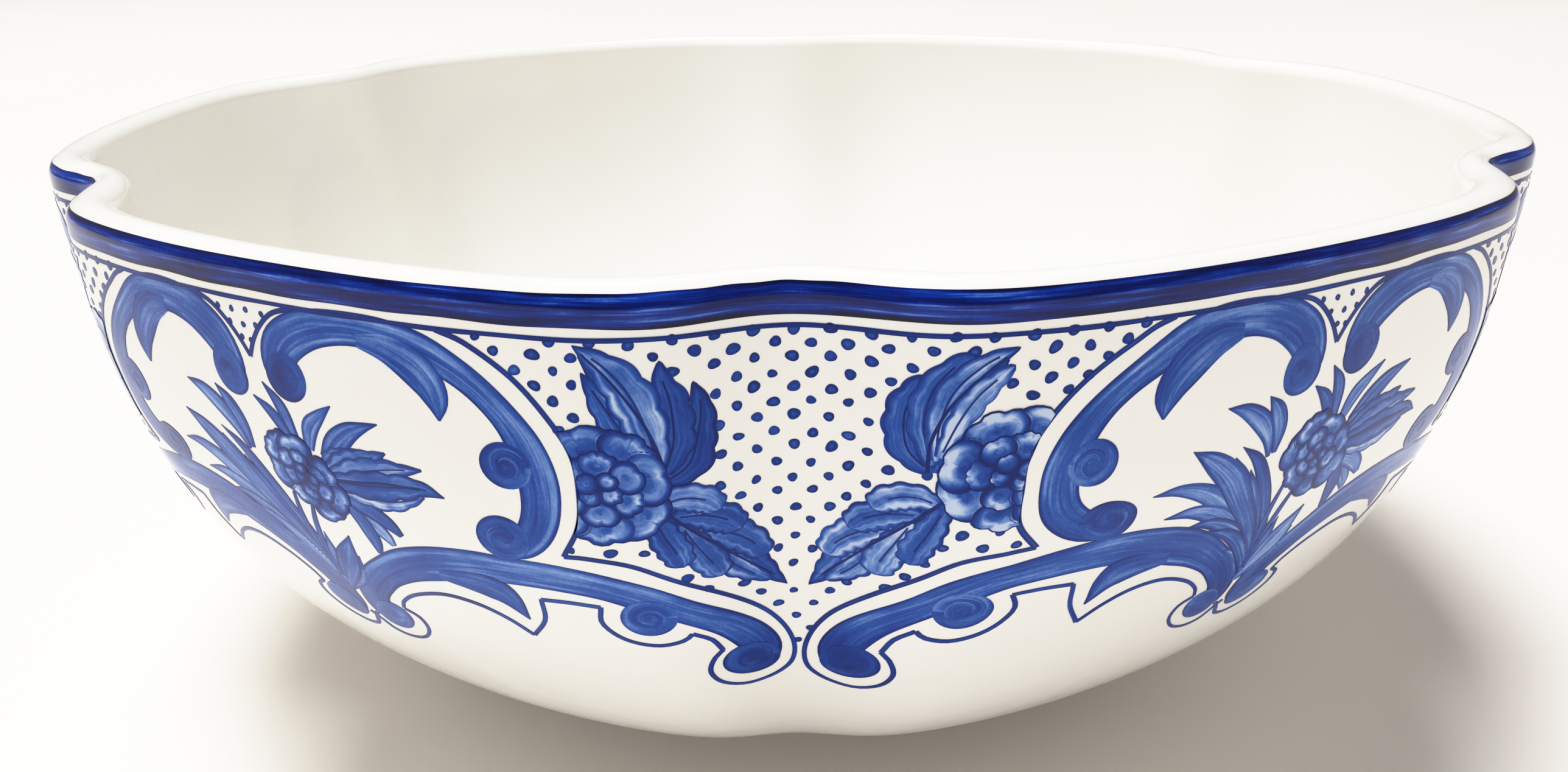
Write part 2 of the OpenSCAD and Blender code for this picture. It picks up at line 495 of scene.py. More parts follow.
class Canvas:
    """Paint laid on one stretch of the bowl, in millimetres: x round the bowl from the
    canvas's middle, y down the outside. mirror paints the stroke's mirror image."""

    def __init__(self, middle, apart=0.0):
        self.middle = middle
        self.apart = apart
        self.mirror = False
        self.xy, self.lift, self.keys = [], [], []
        self.tops, self.borders = [], []
        self.count = 0
        self.strokes = 0
        self.outlines = []

    def patch(self, xy, faces, border, layer, keys):
        """One closed sliver of paint from flat points, faces and the border's loop."""
        xy = np.array(xy, float)
        if self.mirror:
            xy = mirrored(xy, self.apart)
            faces = [tuple(reversed(f)) for f in faces]
            border = list(reversed(border))
        self.outlines.append(xy[border])
        self.xy.append(xy)
        self.lift.append(np.full(len(xy), LIFT + LAYER * layer))
        self.keys.append(np.column_stack([np.broadcast_to(k, len(xy)) for k in keys]))
        self.tops += [tuple(i + self.count for i in f) for f in faces]
        self.borders.append([i + self.count for i in border])
        self.count += len(xy)
        self.strokes += 1

    def grid(self, points, edge, across, along, layer, tone, glow):
        """A patch from rows of points, each row from the left edge to the right."""
        rows, cols = points.shape[:2]
        faces = [(i + j, i + cols + j, i + cols + j + 1, i + j + 1)
                 for i in range(0, (rows - 1) * cols, cols) for j in range(cols - 1)]
        at = np.arange(rows * cols).reshape(rows, cols)
        border = np.concatenate([at[:, 0], at[-1, 1:], at[-2::-1, -1], at[0, -2:0:-1]]).tolist()
        keys = [along.ravel() + HAIR_SHIFT * self.strokes, across.ravel(), edge.ravel(),
                np.broadcast_to(tone, (rows, cols)).ravel(), glow]
        self.patch(points.reshape(-1, 2), faces, border, layer, keys)

    def stroke(self, points, layer=1, tone=0.5, glow=0.0, step=0.7, pool=0.0, merge=0.0,
               scallops=0, ruffle=0.15, rounded=False):
        """A brush stroke through (x, y, half width) points. pool darkens its ends, merge
        is the share of its length that has no dark edge, so that it runs into another
        stroke, ruffle is the depth of its scallops, and rounded rounds its end."""
        path, run = curve(points, step)
        ahead = np.gradient(path[:, :2], axis=0)
        ahead /= np.linalg.norm(ahead, axis=1, keepdims=True) + 1e-12
        side = np.column_stack([ahead[:, 1], -ahead[:, 0]])
        share = (run / run[-1])[:, None]
        half = path[:, 2:]
        if scallops:
            half = half * (1 - ruffle * (1 - np.abs(np.sin(math.pi * scallops * share))))
        if rounded:
            left_over = np.clip((1 - share) * run[-1] / half[-1], 0, 1)
            half = half * np.sqrt(left_over * (2 - left_over))
        half = np.maximum(half, THINNEST)
        cells = 2 * max(1, min(4, math.ceil(half.max() / CELL)))
        across = np.linspace(-1, 1, cells + 1)[None, :]
        points = path[:, None, :2] + side[:, None, :] * (across * half)[..., None]
        edge = (1 - np.abs(across)) * half
        if merge:
            edge = edge + SOFT * np.clip(1 - share / merge, 0, 1)
        along = np.broadcast_to(run[:, None], edge.shape)
        tones = tone + pool * (2 * share - 1) ** 4
        self.grid(points, edge, np.broadcast_to(across, edge.shape), along, layer, tones, glow)

    def line(self, points, half=LINE_HALF, tone=0.55):
        """A thin line of even width through (x, y) points."""
        self.stroke([(x, y, half) for x, y in points], 2, tone, step=0.9)

    def blob(self, x, y, radius, layer, tone, glow=0.0, *, spokes, rings, shape=None,
             squash=(1.0, 1.0), angle=0.0, tone_out=None, lean=0, grain=1.0, clip=None,
             open_to=None):
        """A round dab. shape gives the radius's share in a direction, and squash stretches
        the dab along and across angle. tone_out is the tone at its edge or, where it has a
        lean, at its far side along angle, nearer to it with a higher lean. It has no dark
        edge in the direction open_to, grain is how plainly the brush's hairs show, and
        clip gives the least x that it may reach at a distance down."""
        turn = np.arange(spokes) * 2 * math.pi / spokes
        reach = radius * (shape(turn) if shape else np.ones(spokes))
        share = np.arange(1, rings + 1)[:, None] / rings
        u = share * reach * np.cos(turn) * squash[0]
        w = share * reach * np.sin(turn) * squash[1]
        ring = np.stack([x + u * math.cos(angle) - w * math.sin(angle),
                         y + u * math.sin(angle) + w * math.cos(angle)], axis=-1)
        xy = np.vstack([[[x, y]], ring.reshape(-1, 2)])
        if clip:
            xy[:, 0] = np.maximum(xy[:, 0], clip(xy[:, 1]))
        faces = []
        for k in range(spokes):
            k2 = (k + 1) % spokes
            faces.append((0, 1 + k2, 1 + k))
            for j in range(rings - 1):
                a, b = 1 + j * spokes, 1 + (j + 1) * spokes
                faces.append((a + k, a + k2, b + k2, b + k))
        border = [1 + (rings - 1) * spokes + k for k in reversed(range(spokes))]
        edge = np.concatenate([[radius], ((1 - share) * reach).ravel()]) * min(squash)
        if open_to is not None:
            opening = SOFT * np.clip(np.cos(turn - open_to) + 0.3, 0, 1)
            edge[1:] += np.broadcast_to(opening, (rings, spokes)).ravel()
        across = np.concatenate([[0], np.broadcast_to(share, ring.shape[:2]).ravel()])
        along = np.concatenate([[0], np.broadcast_to(turn * radius, ring.shape[:2]).ravel()])
        end = tone if tone_out is None else tone_out
        ahead = np.concatenate([[0], (u / (radius * squash[0])).ravel()])
        tones = tone + (end - tone) * (((1 + ahead) / 2) ** lean if lean else across)
        keys = [along + HAIR_SHIFT * self.strokes, across * grain, edge, tones, glow]
        self.patch(xy, faces, border, layer, keys)

    def make(self, name, material):
        """The painted object, laid on the bowl's outside."""
        xy = np.concatenate(self.xy) * MM
        lift = np.concatenate(self.lift)[:, None]
        down = xy[:, 1]
        turn = laid(self.middle + SQUEEZE * xy[:, 0] / plain_radius(down))
        base = outside(turn, down)
        out = normals_of(outside, turn, down, DOWN_STEP)
        points = np.concatenate([base + out * lift, base - out * SUNK])
        size = len(base)
        faces = list(self.tops)
        faces += [tuple(i + size for i in reversed(f)) for f in self.tops]
        normals = [out[list(f)] for f in self.tops]
        normals += [-out[list(reversed(f))] for f in self.tops]
        for border in self.borders:
            for a, b in zip(border, border[1:] + border[:1]):
                faces.append((b, a, a + size, b + size))
                sideways = np.cross(points[b] - points[a], out[a])
                sideways /= np.linalg.norm(sideways) + 1e-15
                normals.append(np.array([sideways] * 4))
        obj = make_mesh(name, points, faces, np.concatenate(normals), material)
        give_keys(obj, np.concatenate(self.keys * 2).T)
        return link(obj, "cobalt_glaze")


def inside(outline, x, y):
    """True if the point lies within the closed outline."""
    ax, ay = outline[:, 0], outline[:, 1]
    bx, by = np.roll(ax, -1), np.roll(ay, -1)
    crosses = (ay > y) != (by > y)
    with np.errstate(divide="ignore", invalid="ignore"):
        hit = x < ax + (y - ay) * (bx - ax) / (by - ay)
    return bool(np.count_nonzero(crosses & hit) % 2)


# ------------------------ the decoration
# Half of one unit of the border, from the notch in its middle to the left: x is
# round the bowl and y down the outside, both in millimetres, then the half width.
UPPER_SCROLL = [
    (-62.8, 16.2, 2.4), (-63.3, 13.8, 3.1), (-62.6, 11.4, 3.0), (-59.9, 9.4, 2.8),
    (-56, 8, 2.4), (-51, 7.4, 2.1), (-46, 7.7, 2.2), (-41.5, 8.6, 2.1), (-38, 10.2, 1.9),
    (-34.6, 12.6, 1.8), (-31.6, 15.9, 1.9),
    (-29.6, 19.6, 2.3), (-28.6, 24, 2.5), (-28.8, 28.4, 2.4), (-30, 31.8, 2.3),
    (-32, 34.1, 2.1), (-34.6, 34.9, 1.8)]
UPPER_BARB = [(-50, 8.7, 0.8), (-46, 9.2, 1.8), (-42.6, 10.9, 2.4), (-40.7, 13, 2.2),
              (-40, 15.2, 1.5), (-40, 17.4, 0.15)]
LOWER_SCROLL = [
    (-57.6, 57.2, 1.6), (-58.5, 55, 2.5), (-59, 52.6, 2.75), (-58.6, 50.2, 2.9),
    (-57, 47.6, 3.0), (-54.3, 44.9, 2.9),
    (-50.2, 42.2, 3.1), (-45, 40.4, 3.1), (-39.5, 39.2, 2.7), (-34, 38.9, 2.4), (-28, 39, 2.3),
    (-22.5, 39.8, 2.2), (-17.5, 41.7, 2.3), (-12.8, 44.6, 2.1), (-8.8, 47.6, 2.2),
    (-6, 50.8, 2.5), (-4.5, 54, 2.6), (-4.9, 57, 2.7)]
LOWER_BARB = [(-45, 42.3, 0.9), (-40.5, 42.3, 1.8), (-37, 42.9, 2.2), (-34.9, 44.6, 1.6),
              (-33, 48, 0.1)]
# Round ends and bosses of the scrolls: x, y, radius, tone, the direction of the scroll
# from there, in degrees from +x towards +y, and how far the brush turned in it
CURLS = [(-62.7, 15.3, 3.4, 0.66, -60, 0), (-32.4, 22.3, 3.2, 0.56, 0, -400),
         (-34.3, 33.3, 3.5, 0.6, 40, 400), (-56.6, 55.7, 3.4, 0.5, -120, 0),
         (-17.6, 45.2, 3.4, 0.52, -60, -400), (-5.8, 56.6, 3.7, 0.74, -45, 400)]
PANEL_SIDE = [(-39, 6), (-35.3, 7.3), (-30.3, 10.8), (-26.6, 15.4), (-24.3, 20), (-23.9, 25),
              (-24.5, 30), (-26.8, 35)]
PANEL_FOOT = [(-26.8, 35), (-23.7, 35), (-18.7, 35.9), (-13.7, 38.8), (-8.7, 42.1),
              (-4.5, 45.8), (-1.9, 49.4), (-0.5, 53), (-0.2, 56.4)]
# The line goes on from there round the end of the lower scroll
END_LOOP = [(-1, 59.5), (-3.3, 62), (-6.6, 63), (-9.6, 61.4), (-11, 58.2), (-10.5, 55.2),
            (-9.3, 53.3)]
# Thin line that follows the lower scroll, in the stretches between its sharp tips
CONTOUR = [
    [(-30.8, 43.4), (-27, 43.2), (-23.2, 43.4)],
    [(-23.2, 43.4), (-23.3, 46.7), (-20.8, 49.6), (-17, 50.8), (-13.9, 50.1), (-12.7, 48.8)],
    [(-12.7, 48.8), (-10.5, 50.6), (-9.3, 53.3)],
    [(-30.8, 43.4), (-30.9, 47.5), (-33, 51.5)],
    [(-33, 51.5), (-36.2, 48.8), (-40.3, 46.9), (-45.3, 46.5), (-50.3, 48.3), (-53.2, 50.8),
     (-53.9, 52.8)],
    [(-53.9, 52.8), (-51.5, 54.3), (-50.9, 57.2), (-52.4, 60), (-55.3, 61.3), (-58.3, 60.7),
     (-60.2, 58.7), (-62, 56.9)]]


def panel_edge(y):
    """x of the panel's left side at a distance down."""
    ys = [p[1] for p in PANEL_SIDE]
    return np.interp(y, ys, [p[0] for p in PANEL_SIDE])


# Trails that the brush left in a curl: the direction each starts from, in degrees from
# the scroll, how far out it starts, as a share of the curl, and its tone beside the curl's
TRAILS = ((-30, 0.84, -0.06), (20, 0.72, 0.08), (90, 0.6, -0.05), (160, 0.5, 0.08))
TRAIL_HALF = 0.34
SCROLL_TONES = (0.46, 0.52)


def curl(c, x, y, radius, tone, toward, sweep):
    """The round end of a scroll, with the brush's trails turning in to its middle."""
    c.blob(x, y, radius, 3, tone + 0.08, spokes=32, rings=6, tone_out=tone - 0.04, grain=0.4,
           open_to=math.radians(toward))
    for i, (start, reach_in, off) in enumerate(TRAILS if sweep else ()):
        trail = []
        for share in np.linspace(0, 1, 9):
            a = math.radians(toward + start + 0.6 * sweep * share)
            reach = radius * reach_in * (1 - 0.55 * share)
            trail.append((x + reach * math.cos(a), y + reach * math.sin(a),
                          TRAIL_HALF * math.sin(math.pi * (0.08 + 0.9 * share))))
        c.stroke(trail, 4 + 0.3 * i, tone + off, step=0.5, merge=2.0)


def paint_scrolls(c, rng):
    for mirror in (False, True):
        c.mirror = mirror
        c.stroke(UPPER_SCROLL, 1, rng.uniform(*SCROLL_TONES), 0.1, pool=0.1)
        c.stroke(LOWER_SCROLL, 1, rng.uniform(*SCROLL_TONES), 0.1, pool=0.32)
        c.stroke(UPPER_BARB, 2, 0.5, merge=0.45)
        c.stroke(LOWER_BARB, 2, 0.5, merge=0.45)
        for x, y, radius, tone, toward, sweep in CURLS:
            curl(c, x, y, radius, tone, toward, sweep)


def paint_lines(c):
    for mirror in (False, True):
        c.mirror = mirror
        c.line(PANEL_SIDE)
        c.line(PANEL_FOOT + END_LOOP)
        for stretch in CONTOUR:
            c.line(stretch, tone=0.48)


# Breadth of the dark wash under a leaf, along its midrib, as a share of the widest
WASH = (0.5, 0.9, 1.0, 0.7, 0.2)
WASH_TONE, RIB_TONE = 0.56, 0.72
VEIN_HALF, VEIN_DARKER = 0.12, 0.14
RIB_HALF, RIB_TAPER = 0.24, 0.03
# A lobe's middle is thinned by LOBE_THIN less its tone, but by no less than THIN_LEAST
LOBE_THIN, THIN_LEAST = 0.68, 0.12


def lobed_leaf(c, lobes, midrib, layer=1, breadth=0.0, rounded=True):
    """A leaf of lobes, each brushed in one stroke from the midrib out: (tone, points).
    The later ones overlap the earlier, each has its own thin vein, and a dark wash of
    that breadth lies under them."""
    if breadth:
        wash = [(x, y, breadth * share) for (x, y), share in zip(midrib, WASH)]
        c.stroke(wash, layer - 0.4, WASH_TONE, step=0.4, scallops=4)
    for i, (tone, lobe) in enumerate(lobes):
        level = layer + 0.5 * i
        c.stroke(lobe, level, tone, max(THIN_LEAST, LOBE_THIN - tone), step=0.3, pool=0.08,
                 scallops=5, ruffle=0.17, rounded=rounded)
        vein, _ = curve(lobe, 0.8)
        c.stroke([(x, y, VEIN_HALF) for x, y, _ in vein[1:-3]], level + 0.25, tone + VEIN_DARKER)
    c.stroke([(x, y, RIB_HALF - RIB_TAPER * i) for i, (x, y) in enumerate(midrib)],
             layer + 0.5 * len(lobes) + 0.3, RIB_TONE)


DIMPLE_DEPTH, DIMPLE_HALF = 0.17, 0.2


def petal(dimples):
    """A petal's outline, dimpled along its outer edge in the directions given."""
    def shape(turn):
        off = np.angle(np.exp(1j * turn))
        return 1 - sum(DIMPLE_DEPTH * np.exp(-((off - d) / DIMPLE_HALF) ** 2) for d in dimples)
    return shape


PETALS = [petal((-0.45, 0.5)), petal((0.05,)), petal((-0.6, 0, 0.6)), petal((-0.1,))]
# Rings of a blossom: petals in each, how far out they lie and how big they are, as shares
# of its radius, and how they are stretched along and across the way out
PETAL_RINGS = ((7, 0.68, 0.34, (0.85, 1.24)), (6, 0.4, 0.215, (0.95, 1.1)),
               (4, 0.17, 0.14, (1, 1)))
BED_TONE, HALO_TONE, PETAL_TONE, TIP_TONES = 0.9, 0.78, 0.7, (0.27, 0.39)
# How far the dark edge round a petal shows past it, in millimetres
HALO = 0.25


def flower(c, x, y, radius, rng, pale=0.0, layer=4, clip=None, stretch=(1, 1), tilt=0.0):
    """A blossom: rings of dimpled petals, light at their tips, over a dark bed. pale
    whitens the tips, and stretch draws the blossom out along and across tilt."""
    c.blob(x, y, 0.6 * radius, layer - 0.5, BED_TONE, spokes=28, rings=3, squash=stretch,
           angle=tilt, clip=clip)
    level = layer
    for count, out, size, squash in PETAL_RINGS:
        spin = rng.uniform(0, 1)
        for i in range(count):
            a = spin + (i + rng.uniform(-0.12, 0.12)) * 2 * math.pi / count
            reach = out * radius * rng.uniform(0.93, 1.06)
            u, w = reach * math.cos(a) * stretch[0], reach * math.sin(a) * stretch[1]
            at = (x + u * math.cos(tilt) - w * math.sin(tilt),
                  y + u * math.sin(tilt) + w * math.cos(tilt))
            petal_r = size * radius * rng.uniform(0.92, 1.1)
            form = {"spokes": 28, "shape": PETALS[(i + count) % len(PETALS)], "squash": squash,
                    "angle": math.atan2(w, u) + tilt, "clip": clip}
            c.blob(*at, petal_r + HALO, level - 0.15, HALO_TONE, rings=1, **form)
            c.blob(*at, petal_r, level, PETAL_TONE, 0.24, rings=6, grain=0.5, lean=1 + 8 * pale,
                   tone_out=rng.uniform(*TIP_TONES) - 2.7 * pale, **form)
            level += 0.3


LEAF_UP = [
    (0.7, [(-14.4, 23.6, 1.0), (-11.7, 21.4, 2.5), (-10.6, 17.6, 2.2), (-10.2, 14.2, 1.4),
            (-10.9, 11.2, 0.2)]),
    (0.62, [(-14.4, 22.4, 1.0), (-13.2, 18.4, 2.5), (-13.3, 13.6, 2.2), (-14, 10.6, 1.2),
            (-14.2, 8.4, 0.25)]),
    (0.5, [(-15.6, 21, 1.0), (-18, 17.6, 2.0), (-20.2, 13.6, 1.8), (-22.4, 9.6, 0.15)]),
    (0.46, [(-15, 21.6, 1.2), (-15.8, 17, 2.5), (-17.4, 12.4, 2.9), (-19.8, 9, 2.0),
            (-23.1, 6.5, 0.1)])]
LEAF_UP_RIB = [(-14.2, 23.4), (-14.9, 19.6), (-16.4, 15.4), (-19.2, 10.8), (-22.2, 7.4)]
# The same leaf as it was drawn on the right, fuller and with a blunt shoulder
LEAF_ROUND = [
    (0.6, [(-14.8, 22.4, 1.0), (-12.4, 19.6, 2.2), (-12, 15.6, 2.4), (-13, 12.6, 1.9),
           (-14.4, 10.6, 0.8)]),
    (0.52, [(-15, 21.6, 1.0), (-14, 16.6, 1.9), (-14.8, 12.2, 2.0), (-17, 9.2, 1.3),
            (-18.8, 8, 0.5)]),
    (0.44, [(-15.4, 21, 0.9), (-15.6, 16.6, 1.6), (-17, 12.2, 1.9), (-20, 9.1, 1.4),
            (-23.4, 7.4, 0.2)]),
    (0.34, [(-15.8, 20.6, 0.8), (-17.4, 16.4, 1.5), (-19.3, 13, 1.7), (-21.4, 10.8, 1.2),
            (-23, 9.4, 0.4)])]
LEAF_ROUND_RIB = [(-14.6, 22.6), (-14.8, 18.6), (-16.6, 14.2), (-19.4, 10.8), (-22, 8.4)]
LEAF_DOWN = [
    (0.62, [(-9.4, 33.4, 1.4), (-6.6, 36.4, 2.7), (-3.9, 39, 1.9), (-1, 42.1, 0.1)]),
    (0.5, [(-9.6, 34, 1.2), (-7.6, 37, 2.0), (-5.5, 39.2, 1.5), (-3, 41, 0.5)]),
    (0.5, [(-11.6, 31, 1.0), (-8, 32, 2.5), (-5.2, 34.2, 2.4), (-3.7, 36.8, 1.7)]),
    (0.48, [(-13, 29.8, 1.0), (-11.4, 33.4, 2.2), (-9.8, 36.4, 2.3), (-8.8, 38.8, 1.7)]),
    (0.56, [(-13.8, 28.6, 0.9), (-10.6, 28.8, 2.3), (-8, 30, 2.4), (-6.3, 31.8, 1.7)]),
    (0.6, [(-16, 27.6, 1.2), (-15, 31, 2.1), (-13.8, 33.8, 2.2), (-13, 36.4, 1.6)]),
    (0.46, [(-15.4, 27, 0.9), (-12.8, 26, 2.0), (-10.2, 26.7, 2.1), (-8.6, 28.4, 1.6)])]
LEAF_DOWN_RIB = [(-15.6, 26.6), (-12.6, 30), (-9.4, 33.4), (-6.4, 36.6), (-3, 40)]


def paint_flowers(c, rng):
    lobed_leaf(c, LEAF_UP, LEAF_UP_RIB, breadth=3.2)
    lobed_leaf(c, LEAF_DOWN, LEAF_DOWN_RIB, breadth=4.9)
    flower(c, -21.6, 24.3, 8.6, rng, layer=6, clip=panel_edge)
    c.mirror = True
    c.apart = 0.2
    lobed_leaf(c, LEAF_ROUND, LEAF_ROUND_RIB, breadth=3.2)
    c.apart = 1.0
    paler = [(tone - 0.07, lobe) for tone, lobe in LEAF_DOWN]
    lobed_leaf(c, paler, LEAF_DOWN_RIB, breadth=4.9)
    flower(c, -22.8, 22.8, 8.6, rng, 0.3, layer=6, clip=panel_edge)


# Distances between the panel's columns and rows of dots, and how the rows spread out
# downwards
DOT_COLUMN, DOT_ROW, ROW_SPREAD = 2.13, 3.3, 0.09
DOT_R, DOT_TONE = 0.6, 0.52
PANEL_HALF, PANEL_ROWS = 39, 17


def pressed(rng):
    """The uneven outline of a dot set down with the tip of the brush."""
    start, third = rng.uniform(0, 2 * math.pi), rng.uniform(0, 2 * math.pi)
    return lambda turn: 1 + 0.06 * np.sin(2 * turn + start) + 0.05 * np.sin(3 * turn + third)


def paint_dots(c, rng, taken):
    """Staggered dots that fill the panel round the leaves and flowers."""
    side, _ = curve(PANEL_SIDE)
    foot, _ = curve(PANEL_FOOT)
    half = np.vstack([[(0, RIM_LINE_Y)], side, foot])
    panel = np.vstack([half, mirrored(half[::-1])])
    columns = round(PANEL_HALF / DOT_COLUMN)
    for i in range(-columns, columns + 1):
        for j in range(PANEL_ROWS):
            x = i * DOT_COLUMN + rng.uniform(-0.22, 0.22)
            row = j + 0.5 * (i % 2)
            y = RIM_LINE_Y + 0.3 + row * (DOT_ROW + ROW_SPREAD * row) + rng.uniform(-0.25, 0.25)
            if not inside(panel, x, y) or any(inside(shape, x, y) for shape in taken):
                continue
            c.blob(x, y, DOT_R * rng.uniform(0.85, 1.15), 0, DOT_TONE, spokes=16, rings=2,
                   shape=pressed(rng), squash=(rng.uniform(1.0, 1.3), 1.0),
                   angle=rng.uniform(-0.9, 0.3))


TRIANGLE = [(-9.6, 6), (-5.8, 7.1), (-3.2, 9), (-1.3, 11.2), (0, 13.4)]
TRIANGLE_DOTS = [(-4.2, 7.4), (-1.6, 7.5), (1.1, 7.3), (3.9, 7.5), (-2.4, 9.2), (0.1, 9.3),
                 (2.4, 9.1), (-0.7, 11), (0.9, 11.2)]
TRIANGLE_DOT_R, TRIANGLE_LINE_HALF = 0.42, 0.32
BLADE_TONES = (0.34, 0.58)
BLADES = [
    [(-0.2, 50, 0.5), (-0.9, 43, 0.8), (-2.8, 38, 1.0), (-5.2, 33, 1.1), (-8.4, 28.2, 0.9),
     (-12, 25.4, 0.05)],
    [(-6.9, 28, 0.3), (-7.8, 25.2, 1.0), (-9.8, 22.4, 1.5), (-13, 20.2, 1.1), (-16.4, 19.2, 0.05)],
    [(-6, 27.6, 0.4), (-6.4, 24, 1.2), (-7.8, 21, 1.2), (-9.8, 18.8, 0.05)],
    [(-1.2, 46, 0.6), (-5, 39.3, 1.4), (-8.6, 34.5, 1.9), (-12, 30.2, 2.0), (-16, 26.8, 1.5),
     (-20, 24.4, 0.05)],
    [(-1, 46.5, 0.5), (-5.4, 40.5, 1.4), (-10, 35.5, 1.8), (-15, 31.8, 1.5), (-19.9, 30, 0.9),
     (-24.1, 30, 0.05)],
    [(-3, 44, 0.6), (-7.4, 39.6, 1.4), (-12, 36, 1.5), (-16.6, 34.2, 1.0), (-21.1, 34.2, 0.05)],
    [(-1.5, 46.5, 0.5), (-4.6, 42.6, 1.2), (-8.6, 39.2, 1.4), (-12.9, 37, 0.9),
     (-16.7, 36.8, 0.05)],
    [(-0.4, 50, 0.6), (-2, 46.6, 1.2), (-5.2, 42.6, 1.3), (-9, 39.8, 0.9), (-13.2, 38.4, 0.05)],
    [(-1.4, 48.4, 0.6), (-4.6, 44.8, 0.9), (-7.8, 43.3, 0.05)],
    [(-2, 43.6, 0.6), (-5, 38.6, 1.3), (-8.2, 34, 1.6), (-10.8, 30, 1.3), (-12.6, 26.8, 0.05)],
    [(-2, 43.2, 0.5), (-4.8, 37.6, 1.1), (-7.2, 33, 0.9), (-9.2, 29.4, 0.05)],
    [(3, 24.8, 0.8), (1, 21.2, 1.0), (-1.8, 19, 0.1)],
    [(3.9, 24.6, 0.8), (3, 19.8, 1.1), (0.8, 16.7, 0.1)],
    [(5.9, 25.2, 0.8), (7.3, 22, 1.3), (9.5, 20, 0.9), (12.1, 18.1, 0.1)],
    [(8.6, 26.4, 1.2), (11, 23.6, 1.7), (13.8, 21.4, 1.4), (16.5, 20.2, 0.7), (18.9, 19.4, 0.1)],
    [(8.2, 31.8, 1.0), (12.2, 33, 1.5), (15, 34.8, 1.3), (16.4, 36.6, 0.5)],
    [(8, 32.4, 1.0), (11.2, 34.6, 1.5), (13.4, 37, 1.2), (14.2, 38.8, 0.45)],
    [(8.8, 32.6, 0.9), (10.5, 35.6, 1.4), (11, 38.6, 1.2), (10.8, 41.1, 0.4)],
    [(-0.9, 51.4, 0.5), (0.4, 45.4, 1.2), (1.1, 39.8, 0.05)],
    [(-0.8, 51.6, 0.5), (2.8, 45, 2.2), (6.1, 39.2, 0.1)],
    [(-0.6, 51.6, 0.5), (3, 47.4, 1.9), (5.9, 43, 0.1)]]
STEMS = [[(-0.8, 49, 0.4), (-1.6, 43, 0.5), (-1.8, 38, 0.5), (-1.2, 33.6, 0.3)],
         [(-0.6, 49, 0.4), (-0.4, 43, 0.5), (0.4, 38.6, 0.5), (1.6, 35, 0.3)]]
BIG_LEAF = [
    (0.34, [(7.4, 30, 1.0), (11.6, 30.9, 1.5), (16.2, 31, 1.7), (19.8, 30.1, 1.2),
            (22.6, 28.9, 0.4)]),
    (0.56, [(7, 28.2, 1.0), (10, 26.2, 2.0), (12.6, 24.9, 1.3), (14.6, 23.7, 0.2)]),
    (0.5, [(7.4, 28.6, 1.0), (11.6, 26.4, 2.2), (15.4, 24.9, 1.5), (18.8, 23.4, 0.2)]),
    (0.46, [(7.8, 29, 1.0), (13, 27.2, 2.2), (18.2, 25.8, 1.6), (23.6, 24.9, 0.2)]),
    (0.58, [(7.6, 29.6, 1.2), (13.4, 29.1, 2.3), (19, 28.2, 2.2), (22.8, 27.7, 1.3),
            (25.7, 28.5, 0.1)])]
BIG_LEAF_RIB = [(7.8, 29.4), (12.6, 28.8), (17.6, 28), (22.4, 27.9)]


def paint_spray(c, rng):
    """A cut spray between two scrolls, with the dotted triangle above it."""
    for blade in BLADES:
        c.stroke(blade, 1 + 0.25 * (c.strokes % 4), rng.uniform(*BLADE_TONES), 0.12)
    for stem in STEMS:
        c.stroke(stem, 2.5, 0.4)
    lobed_leaf(c, BIG_LEAF, BIG_LEAF_RIB, 2, rounded=False)
    flower(c, 3.2, 30, 6.8, rng, 0.04, layer=6, stretch=(1.22, 0.8), tilt=math.radians(44))
    for mirror in (False, True):
        c.mirror = mirror
        c.line(TRIANGLE, TRIANGLE_LINE_HALF)
    c.mirror = False
    for x, y in TRIANGLE_DOTS:
        c.blob(x, y, TRIANGLE_DOT_R, 0, DOT_TONE, spokes=16, rings=2, shape=pressed(rng))


# How many waves a ring's edges have, what share of the lower edge's waver the top one
# has, and how many facets it is out of step
RING_WAVES, TOP_SHARE, TOP_SHIFT = 14, 0.5, 131


def ring_stroke(name, top, low, material, layer, tone, wobble, seed):
    """A painted ring round the outside whose two edges waver like a turned brush."""
    rng = random.Random(seed)
    waves = [(rng.randint(3, 60), rng.uniform(0, 6.28), rng.uniform(-1, 1))
             for _ in range(RING_WAVES)]
    turns = facet_turns()
    waver = sum(size * np.sin(n * turns + start) for n, start, size in waves) * wobble / 3
    cells = max(2, round((low - top) / RING_CELL))
    share = np.linspace(0, 1, cells + 1)
    edge_low = low + waver
    edge_top = top + np.roll(waver, TOP_SHIFT) * TOP_SHARE
    down = (edge_top + (edge_low - edge_top) * share[:, None]) * MM
    turn = np.broadcast_to(turns, down.shape)
    base = outside(turn, down)
    out = normals_of(outside, turn, down, DOWN_STEP)
    front = Sheet(base + out * (LIFT + LAYER * layer), out)
    back = Sheet((base - out * SUNK)[::-1], -out[::-1])
    obj = make_shell(name, [front, joining(front, back), back, joining(back, front)], material)
    across = np.repeat(np.concatenate([share, share[::-1]]) * 2 - 1, len(turns))
    along = np.tile(np.abs(math.pi - turns) * RIM_R / MM, 2 * len(share))
    edge = (1 - np.abs(across)) * (low - top) / 2
    give_keys(obj, (along, across, edge, np.full(len(along), tone), np.zeros(len(along))))
    return obj


# ------------------------ the porcelain
def span(start, end, steps):
    return np.linspace(start, end, steps + 1)


def outer(turn, phi):
    return belly(turn, phi, 0.0)


def inner(turn, phi):
    return belly(turn, phi, WALL_T)


